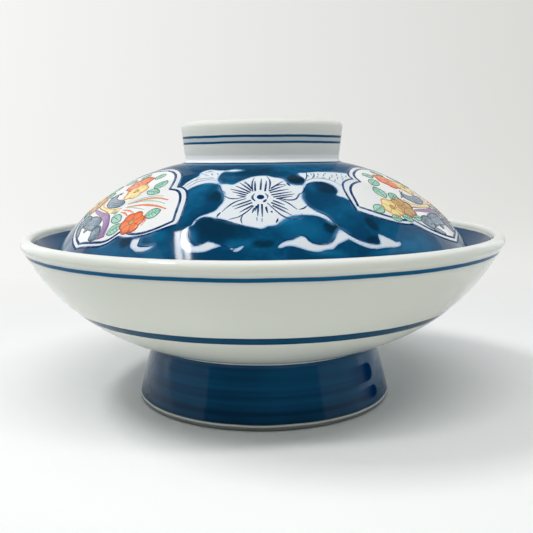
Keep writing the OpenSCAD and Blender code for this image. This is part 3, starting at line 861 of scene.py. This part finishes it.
broken = finish.even_ramp(finish.noise(700, 3, 0.6), 0.3, 0.7, -0.18, 0.18)
ink = finish.ramp(finish.plus(finish.attribute("load"), broken), 0.1, 1.0)
finish.feed(shader.inputs["Base Color"], finish.mix(ink, INK_PALE, INK_FULL))
glaze_on(finish, shader, 0.06, 0.0001)
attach(drawing, "lid")


# Overglaze enamels in the panels: a long-tailed bird among peonies over a garden rock. Each
# pigment was laid on in small raised dabs after the glaze firing and fired again, softer.
ENAMEL_LIFT, ENAMEL_CROWN, ENAMEL_DEPTH = 0.03, 0.07, 0.08
# A later dab lies a little over an earlier one.
LUMP_STEP, PLUME_LIFT, PLUME_CROWN, FLOWER_LIFT, FLOWER_STEP = 0.004, 0.038, 0.05, 0.036, 0.012
# Outlines and fine marks lie over the dabs: width, height over the glaze.
LUMP_EDGE, PLUME_EDGE, LEAF_EDGE = (0.32, 0.09), (0.3, 0.09), (0.28, 0.08)
LEAF_RIB, LEAF_VEIN, TAIL_MARK, ROCK_MARK = (0.28, 0.11), (0.2, 0.1), (0.3, 0.1), (0.3, 0.11)
BIRD_LIFT = 0.115
# On a flower: width, height over its own dab.
PETAL_EDGE, PETAL_VEIN, HEART_EDGE = (0.36, 0.06), (0.3, 0.07), (0.26, 0.1)
HEART_R, HEART_PETALS, HEART_NOTCH, HEART_LIFT, HEART_CROWN = 1.05, 6, 0.12, 0.07, 0.03
PETAL_POINTS, LEAF_POINTS, BROAD_PLUME = 10, 13, 1.5
# Pigments: strong and thin colour, and the colour of their outlines.
PIGMENTS = {
    "red": ((0.80, 0.17, 0.05, 1), (0.88, 0.31, 0.12, 1), (0.52, 0.07, 0.02, 1)),
    "yellow": ((0.86, 0.69, 0.25, 1), (0.92, 0.84, 0.50, 1), (0.70, 0.24, 0.06, 1)),
    "green": ((0.28, 0.60, 0.45, 1), (0.53, 0.77, 0.64, 1), (0.018, 0.12, 0.08, 1)),
    "brown": ((0.52, 0.31, 0.11, 1), (0.66, 0.45, 0.21, 1), (0.34, 0.12, 0.035, 1)),
    "purple": ((0.24, 0.12, 0.28, 1), (0.36, 0.21, 0.40, 1), (0.10, 0.04, 0.12, 1)),
    "grey": ((0.10, 0.17, 0.215, 1), (0.29, 0.37, 0.45, 1), (0.04, 0.06, 0.085, 1)),
}
# Flowers: pigment, middle, radius, petals, turn. Leaves: middle, length, width, turn.
FLOWERS = [
    ("red", (-1.2, 48.5), 5.2, 6, 10), ("yellow", (4.4, 52.9), 4.7, 5, 35),
    ("red", (20.7, 63.9), 4.7, 6, 20), ("brown", (-15.2, 60.4), 4.8, 6, 5),
    ("yellow", (-21.2, 58.2), 4.3, 5, 60),
]
LEAVES = [
    ((25.0, 57.8), 5.6, 4.2, -58), ((11.7, 65.2), 6.2, 3.6, 4), ((15.6, 68.7), 6.0, 4.2, -58),
    ((13.6, 51.0), 6.4, 3.2, -10), ((11.8, 46.9), 5.6, 4.4, 80), ((3.6, 42.8), 4.8, 3.8, 60),
    ((-27.2, 55.7), 5.6, 3.8, 6), ((-16.8, 51.6), 6.4, 4.6, -62), ((-11.4, 47.2), 6.6, 3.8, -8),
    ((-13.4, 55.4), 5.6, 3.6, -12), ((-24.9, 61.7), 4.4, 2.8, 34), ((-19.9, 64.0), 4.6, 3.2, 40),
    ((-14.6, 65.8), 4.4, 2.8, 18), ((-7.0, 43.2), 4.8, 3.8, 20),
]
# Single strokes: pigment, width, widths at start, middle and end, points.
PLUMES = [
    ("red", 0.85, (0.4, 1, 0.5), [(9.5, 59.0), (14.5, 55.0), (19.5, 52.3), (24.2, 51.2)]),
    ("red", 0.95, (0.4, 1, 0.5), [(10.5, 60.0), (17.0, 57.0), (23.0, 55.0), (27.6, 54.1)]),
    ("red", 0.75, (0.4, 1, 0.5), [(10.2, 61.6), (13.5, 60.9), (16.8, 60.8)]),
    ("red", 0.75, (0.4, 1, 0.5), [(10.2, 62.5), (13.0, 62.3), (15.5, 62.7)]),
    ("red", 0.45, (0.5, 1, 0.5), [(23.4, 60.2), (25.3, 61.2), (25.8, 63.2)]),
    ("red", 0.45, (0.5, 1, 0.5), [(22.6, 59.6), (24.6, 60.1), (25.4, 60.9)]),
    ("green", 0.65, (0.4, 1, 0.4), [(9.0, 58.6), (13.0, 54.8), (17.0, 52.2), (20.4, 50.7)]),
    ("green", 0.65, (0.4, 1, 0.4), [(10.0, 58.8), (16.0, 55.2), (21.0, 53.5), (25.0, 52.8)]),
    ("green", 0.55, (0.4, 1, 0.4), [(10.0, 60.4), (14.5, 59.2), (19.8, 58.2)]),
    ("yellow", 2.1, (0.5, 1, 0.8), [
        (-10.2, 59.0), (-8.4, 61.6), (-4.6, 63.1), (0, 63.5), (4.5, 63.4), (8.4, 62.0),
    ]),
    ("purple", 3.2, (0.3, 0.75, 1.1), [
        (-11.2, 63.3), (-5, 64.7), (1, 65.5), (6, 66.7), (9.8, 69.4), (12.4, 73.2),
    ]),
]
# The rock's lumps and the bird: pigment, how strongly it is loaded, middle, outline.
LUMPS = [
    ("grey", 1.0, (-10.4, 69.0), [
        (-14, 67.2), (-11.6, 66.2), (-8.4, 66.4), (-6.4, 68.2), (-6.6, 70.6), (-8.6, 71.8), (-11, 71.6),
        (-13.2, 69.8),
    ]),
    ("grey", 0.8, (-1.6, 69.2), [
        (-7, 67.0), (-3, 66.5), (1.5, 66.9), (4, 68.0), (4.6, 70.4), (3.2, 72.0), (-0.5, 72.0),
        (-4, 71.4), (-7, 71.6), (-8.2, 69.4),
    ]),
    ("grey", 1.0, (6.6, 72.6), [
        (4.4, 69.6), (7.4, 70.0), (9.2, 71.8), (10.2, 74.1), (8, 75.1), (5.8, 75.4), (4.6, 73.6),
        (3.4, 71.9),
    ]),
    ("grey", 1.0, (-8.6, 72.9), [
        (-11.3, 71.6), (-8.6, 71.8), (-6.6, 73.2), (-4.4, 75.2), (-6.5, 74.9), (-9.8, 73.2),
    ]),
    ("grey", 1.2, (-2.2, 72.6), [(-3.8, 71.9), (-2.0, 72.2), (-0.8, 71.8), (-1.6, 73.0), (-2.8, 73.3)]),
    ("grey", 0.45, (-2.4, 59.4), [
        (-7.2, 56.3), (-5.0, 55.5), (-3.4, 57.2), (0, 58.2), (4, 57.9), (6.6, 59.0), (5.6, 61.1),
        (1, 62.1), (-3, 61.7), (-5.6, 60.2), (-7.4, 58),
    ]),
]
# The bird's beak, eye, crest, wing and feathers: points, width.
BIRD_LINES = [
    ([(-7.2, 57.0), (-8.6, 56.9), (-9.8, 57.3)], 0.52),
    ([(-6.5, 56.9), (-6.1, 56.8), (-5.7, 56.9)], 0.45),
    ([(-5.4, 55.7), (-4.6, 54.7), (-3.4, 54.3)], 0.30),
    ([(-5.0, 55.8), (-4.0, 55.2), (-2.9, 55.2)], 0.30),
    ([(-4.2, 58.2), (-2.0, 59.6), (1.0, 60.0), (4.2, 59.4), (6.0, 59.4)], 0.27),
    ([(-3.0, 59.8), (-0.6, 60.7), (2.2, 60.9), (4.6, 60.4)], 0.24),
    ([(-1.4, 58.6), (0.8, 59.0), (2.6, 58.7)], 0.22), ([(1.2, 58.4), (3.0, 58.9), (4.6, 58.5)], 0.22),
    ([(-4.6, 60.4), (-2.8, 61.1), (-1.0, 61.3)], 0.22),
]
# Short marks on the tail, by their x, and on the rock.
TAIL_MARKS = (5.4, 6.3, 7.2, 8.1)
ROCK_MARKS = [
    (-12, 68), (-10, 67.6), (-5, 68), (-2.4, 68.4), (0.4, 68.2), (-4, 70.2), (1.8, 70), (6, 71.6),
    (7.6, 73), (-9.4, 70),
]


def scalloped(middle, radius, petals, tilt, notch=0.2):
    """Outline of an open flower with round petals."""
    a = np.linspace(0, math.tau, petals * PETAL_POINTS, False)
    r = radius * (1 - notch + notch * np.abs(np.cos(petals * (a - math.radians(tilt)) / 2)) ** 0.7)
    return np.stack([middle[0] + r * np.cos(a), middle[1] + r * np.sin(a)], -1)


def pointed(middle, length, width, tilt):
    """Outline of a leaf that comes to a point at both ends, and its midrib."""
    s = np.linspace(-1, 1, LEAF_POINTS)
    up = np.stack([s * length / 2, width / 2 * (1 - s * s) ** 0.8], -1)
    loop = np.vstack([up, (up * (1, -1))[-2:0:-1]])
    c, d = math.cos(math.radians(tilt)), math.sin(math.radians(tilt))
    turn = np.array([[c, d], [-d, c]])
    return loop @ turn + middle, np.stack([s[::3] * length / 2, 0 * s[::3]], -1) @ turn + middle


sheets = {pigment: new_drawing() for pigment in PIGMENTS}
edges = {pigment: new_drawing() for pigment in PIGMENTS}


def edge_stroke(pigment, points, width, lift, ends=EVEN):
    """A dark line over the enamel in a panel."""
    stroke(edges[pigment], PANEL, points, width, ends, lift)


def closed(outline, step):
    """Every so many points of an outline, and its first point again."""
    return np.vstack([outline[::step], outline[:1]])


for order, (pigment, load, middle, points) in enumerate(LUMPS):
    outline = smooth_line(points, True, 4)
    dab(sheets[pigment], PANEL, outline, middle, ENAMEL_LIFT + LUMP_STEP * order, ENAMEL_CROWN, load)
    edge_stroke(pigment, closed(outline, 3), *LUMP_EDGE)
for pigment, width, ends, points in PLUMES:
    broad = width > BROAD_PLUME
    stroke(sheets[pigment], PANEL, points, width, ends, PLUME_LIFT, PLUME_CROWN, 0.9, 6 if broad else 2)
    if broad:
        edge_stroke(pigment, np.asarray(points) - (0, width / 2 - 0.1), *PLUME_EDGE)
for middle, length, width, tilt in LEAVES:
    outline, rib = pointed(middle, length, width, tilt)
    dab(sheets["green"], PANEL, outline, middle, ENAMEL_LIFT, ENAMEL_CROWN, 0.9)
    edge_stroke("green", closed(outline, 2), *LEAF_EDGE)
    edge_stroke("green", rib, *LEAF_RIB, TAPERED)
    half_rib = rib[-1] - middle
    for share in (-0.55, -0.15, 0.25):
        root = middle + half_rib * share
        for side in (LEAF_POINTS // 2, LEAF_POINTS // 2 + LEAF_POINTS - 1):
            tip = root + half_rib * 0.25 + (outline[side] - middle) * 0.75 * (1 - share * share)
            edge_stroke("green", [root, (root + tip) / 2, tip], *LEAF_VEIN, TAPERED)
for order, (pigment, middle, radius, petals, tilt) in enumerate(FLOWERS):
    middle, lift = np.array(middle), FLOWER_LIFT + FLOWER_STEP * (order % 2)
    outline = scalloped(middle, radius, petals, tilt)
    dab(sheets[pigment], PANEL, outline, middle, lift, ENAMEL_CROWN, 0.9)
    on_flower = np.array([0, lift])
    edge_stroke(pigment, closed(outline, 2), *(PETAL_EDGE + on_flower))
    for petal in range(petals):
        a = math.radians(tilt) + (petal + 0.5) * math.tau / petals
        way = radius * np.array([math.cos(a), math.sin(a)])
        vein = [middle + way * share for share in (0.3, 0.55, 0.8)]
        edge_stroke(pigment, vein, *(PETAL_VEIN + on_flower), FADING)
    heart = scalloped(middle, HEART_R, HEART_PETALS, tilt, HEART_NOTCH)
    dab(sheets["brown"], PANEL, heart, middle, lift + HEART_LIFT, HEART_CROWN, 0.7, 2)
    edge_stroke("brown", closed(heart, 6), *(HEART_EDGE + on_flower))
for points, width in BIRD_LINES:
    edge_stroke("grey", points, width, BIRD_LIFT, TAPERED)
for x in TAIL_MARKS:
    edge_stroke("green", [(x, 62.2), (x + 0.2, 63.2), (x + 0.1, 64.2)], *TAIL_MARK, TAPERED)
for x, y in ROCK_MARKS:
    edge_stroke("grey", [(x - 1.0, y + 0.3), (x, y - 0.1), (x + 1.1, y + 0.4)], *ROCK_MARK, TAPERED)

# Fired enamel: clouded where it was laid on thicker, with a soft gloss.
red_strong, red_thin, _ = PIGMENTS["red"]
fired_enamel, taken, given = new_effect(
    "Fired enamel",
    [
        ("Strong", "NodeSocketColor", red_strong),
        ("Thin", "NodeSocketColor", red_thin),
        ("Load", "NodeSocketFloat", 1.0),
    ],
    [("Color", "NodeSocketColor"), ("Roughness", "NodeSocketFloat"), ("Height", "NodeSocketFloat")],
)
cloud = fired_enamel.noise(330, 4, 0.6)
strength = fired_enamel.times(fired_enamel.ramp(cloud, 0.3, 0.7, 0.35, 1.15), taken["Load"])
fired_enamel.feed(given["Color"], fired_enamel.mix(strength, taken["Thin"], taken["Strong"]))
fired_enamel.feed(given["Roughness"], fired_enamel.ramp(cloud, 0.3, 0.7, 0.16, 0.3))
fired_enamel.feed(given["Height"], cloud)
for pigment, (strong, thin, dark) in PIGMENTS.items():
    halfway = tuple(0.5 * (d + s) for d, s in zip(dark, strong))
    for name, bm, first, second in (
        (f"enamel_{pigment}", sheets[pigment], strong, thin),
        (f"outline_{pigment}", edges[pigment], dark, halfway),
    ):
        piece = repeated_drawing(name, bm, ENAMEL_DEPTH)
        finish, shader = finish_for(piece, name, 1.5, 0.4)
        look = {"Strong": first, "Thin": second, "Load": finish.attribute("load")}
        paint = finish.place(fired_enamel, look)
        finish.feed(shader.inputs["Base Color"], paint["Color"])
        finish.feed(shader.inputs["Roughness"], paint["Roughness"])
        finish.bump(shader, 0.3, 0.0001, paint["Height"])
        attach(piece, "lid")


# Studio: a white paper sweep under and behind the bowl, a key and an overhead soft box, two
# window panes and the two side walls of a light tent, which show in the glaze. Nothing here
# is part of the bowl. Sizes and places are in metres.
SWEEP_WIDTH, SWEEP_FRONT, SWEEP_BACK, SWEEP_HEIGHT, SWEEP_BEND = 6.0, -2.5, 1.0, 0.75, 0.5
PAPER, PAPER_BRIGHT = (0.855, 0.86, 0.85, 1), (0.885, 0.89, 0.88, 1)
# Colours of the paper's painted glow, brighter on the left.
GLOW_LEFT, GLOW_RIGHT, GLOW_HALF_WIDTH = (0.93, 0.93, 0.915, 1), (0.70, 0.705, 0.68, 1), 0.46
DAYLIGHT, ROOM_AIR = (0.84, 0.92, 1.0), (0.97, 0.98, 1.0, 1)
PANE_SIZE, PANE_LEVEL, PANE_TURN = (0.36, 0.042), 38.0, -17.65
WINDOW, PANE_STEP = Vector((-0.5066, -0.1337, 0.933)), Vector((0.0235, -0.0061, 0.0123))
WINDOW_AIM = (-0.0226, -0.0637, 0.062)
TENT_X, TENT_Y, TENT_LENGTH = 0.50, 0.10, 0.995


def sweep_sheet(name, width, front, back, height, bend):
    """A paper sweep: level in front, rolled up into a wall behind."""
    bm = bmesh.new()
    tip = bm.verts.new((-width / 2, front, 0))
    tip = bmesh.ops.extrude_vert_indiv(bm, verts=[tip])["verts"][0]
    tip.co.y = back - bend
    bmesh.ops.spin(
        bm, geom=[tip], cent=(0, back - bend, bend), axis=(1, 0, 0), angle=math.pi / 2, steps=24,
    )
    bm.verts.ensure_lookup_table()
    tip = bmesh.ops.extrude_vert_indiv(bm, verts=[bm.verts[-1]])["verts"][0]
    tip.co.z = height
    wide = bmesh.ops.extrude_edge_only(bm, edges=bm.edges[:])["geom"]
    far_side = [v for v in wide if isinstance(v, bmesh.types.BMVert)]
    bmesh.ops.translate(bm, verts=far_side, vec=(width, 0, 0))
    bmesh.ops.recalc_face_normals(bm, faces=bm.faces)
    return shown(name, bm)


paper = sweep_sheet("paper_sweep", SWEEP_WIDTH, SWEEP_FRONT, SWEEP_BACK, SWEEP_HEIGHT, SWEEP_BEND)
finish, shader = finish_for(paper, "white_paper", 1.4, 0.0)
finish.feed(shader.inputs["Base Color"], finish.mix(finish.noise(9, 3), PAPER, PAPER_BRIGHT))
finish.feed(shader.inputs["Roughness"], 0.9)
# Away from the bowl the paper glows with painted light for the camera and in reflections, brighter on the
# left and dimming a little towards the back.
here = finish.node("SeparateXYZ", {0: finish.here()})
falling = finish.even_ramp(here["X"], -GLOW_HALF_WIDTH, GLOW_HALF_WIDTH)
painted_glow = {
    "Color": finish.mix(falling, GLOW_LEFT, GLOW_RIGHT),
    "Strength": finish.ramp(here["Y"], 0.2, 0.9, 1.08, 1.0),
}
glow = finish.node("Emission", painted_glow)[0]
ray = finish.node("LightPath")
seen = finish.most(ray["Is Camera Ray"], finish.most(ray["Is Glossy Ray"], ray["Is Transmission Ray"]))
away = finish.most(finish.ramp(here["Y"], 0.06, 0.28), finish.ramp(here["Y"], -1.1, -0.5, 1.0, 0.0))
sheet = finish.node("MixShader", {0: finish.times(seen, away), 1: shader.outputs[0], 2: glow})[0]
finish.feed(finish.tree.nodes["Material Output"].inputs["Surface"], sheet)


def soft_box(name, place, aim, size, level, seen, turn=0.0, colour=(1, 1, 1)):
    """A rectangular soft box at place, facing aim and turned; level is its brightness, 1 for white."""
    lamp = bpy.data.lights.new(name, "AREA")
    lamp.shape = "RECTANGLE"
    lamp.size, lamp.size_y = size
    lamp.energy = level * math.pi * size[0] * size[1]
    lamp.color = colour
    box = bpy.data.objects.new(name, lamp)
    box.location = place
    facing = (Vector(aim) - Vector(place)).to_track_quat("-Z", "Y").to_matrix()
    box.rotation_euler = (facing @ Matrix.Rotation(math.radians(turn), 3, "Z")).to_euler()
    box.visible_glossy = seen
    bpy.context.scene.collection.objects.link(box)


soft_box("key", (0.06, -0.49, 0.98), (0, 0, 0.03), (0.90, 0.10), level=18.0, seen=False)
soft_box("overhead", (-0.1, -0.12, 1.1), (0, 0, 0), (0.9, 0.9), level=0.7, seen=False)
for pane, side in (("window_left", -1), ("window_right", 1)):
    soft_box(pane, WINDOW + side * PANE_STEP, WINDOW_AIM, PANE_SIZE, PANE_LEVEL, seen=True, turn=PANE_TURN)
for wall, side, height, level in (("tent_left", -1, 0.68, 0.62), ("tent_right", 1, 0.52, 0.60)):
    middle = Vector((side * TENT_X, TENT_Y, height / 2))
    inwards = middle - Vector((side, 0, 0))
    soft_box(wall, middle, inwards, (TENT_LENGTH, height), level, seen=True, colour=DAYLIGHT)

# The room beyond is dim, but the camera sees it pale.
world = bpy.data.worlds.new("dim_room")
bpy.context.scene.world = world
world.use_nodes = True
room = Finish(world.node_tree)
sky = world.node_tree.nodes["Background"]
room.feed(sky.inputs["Color"], ROOM_AIR)
seen = room.node("LightPath")["Is Camera Ray"]
room.feed(sky.inputs["Strength"], room.ramp(seen, 0, 1, 0.15, 0.82))
bpy.context.scene.view_settings.view_transform = "Standard"

# Camera: fitted to the ellipses of the rim, the bands and the foot in the photograph.
CAMERA_PLACE = (0.0, -0.26733, 0.08676)
# Degrees about X, Y and Z from looking straight down.
CAMERA_TURN = (81.363, 0.505, -0.342)
FOCAL_PIXELS, PHOTO_WIDTH, SENSOR = 729.85, 533, 36
camera_data = bpy.data.cameras.new("camera")
camera_data.sensor_width = SENSOR
camera_data.lens = FOCAL_PIXELS / PHOTO_WIDTH * SENSOR
camera_data.clip_start = 0.01
camera = bpy.data.objects.new("camera", camera_data)
turn = Euler([math.radians(angle) for angle in CAMERA_TURN]).to_matrix()
camera.matrix_world = Matrix.Translation(CAMERA_PLACE) @ turn.to_4x4()
bpy.context.scene.collection.objects.link(camera)
bpy.context.scene.camera = camera
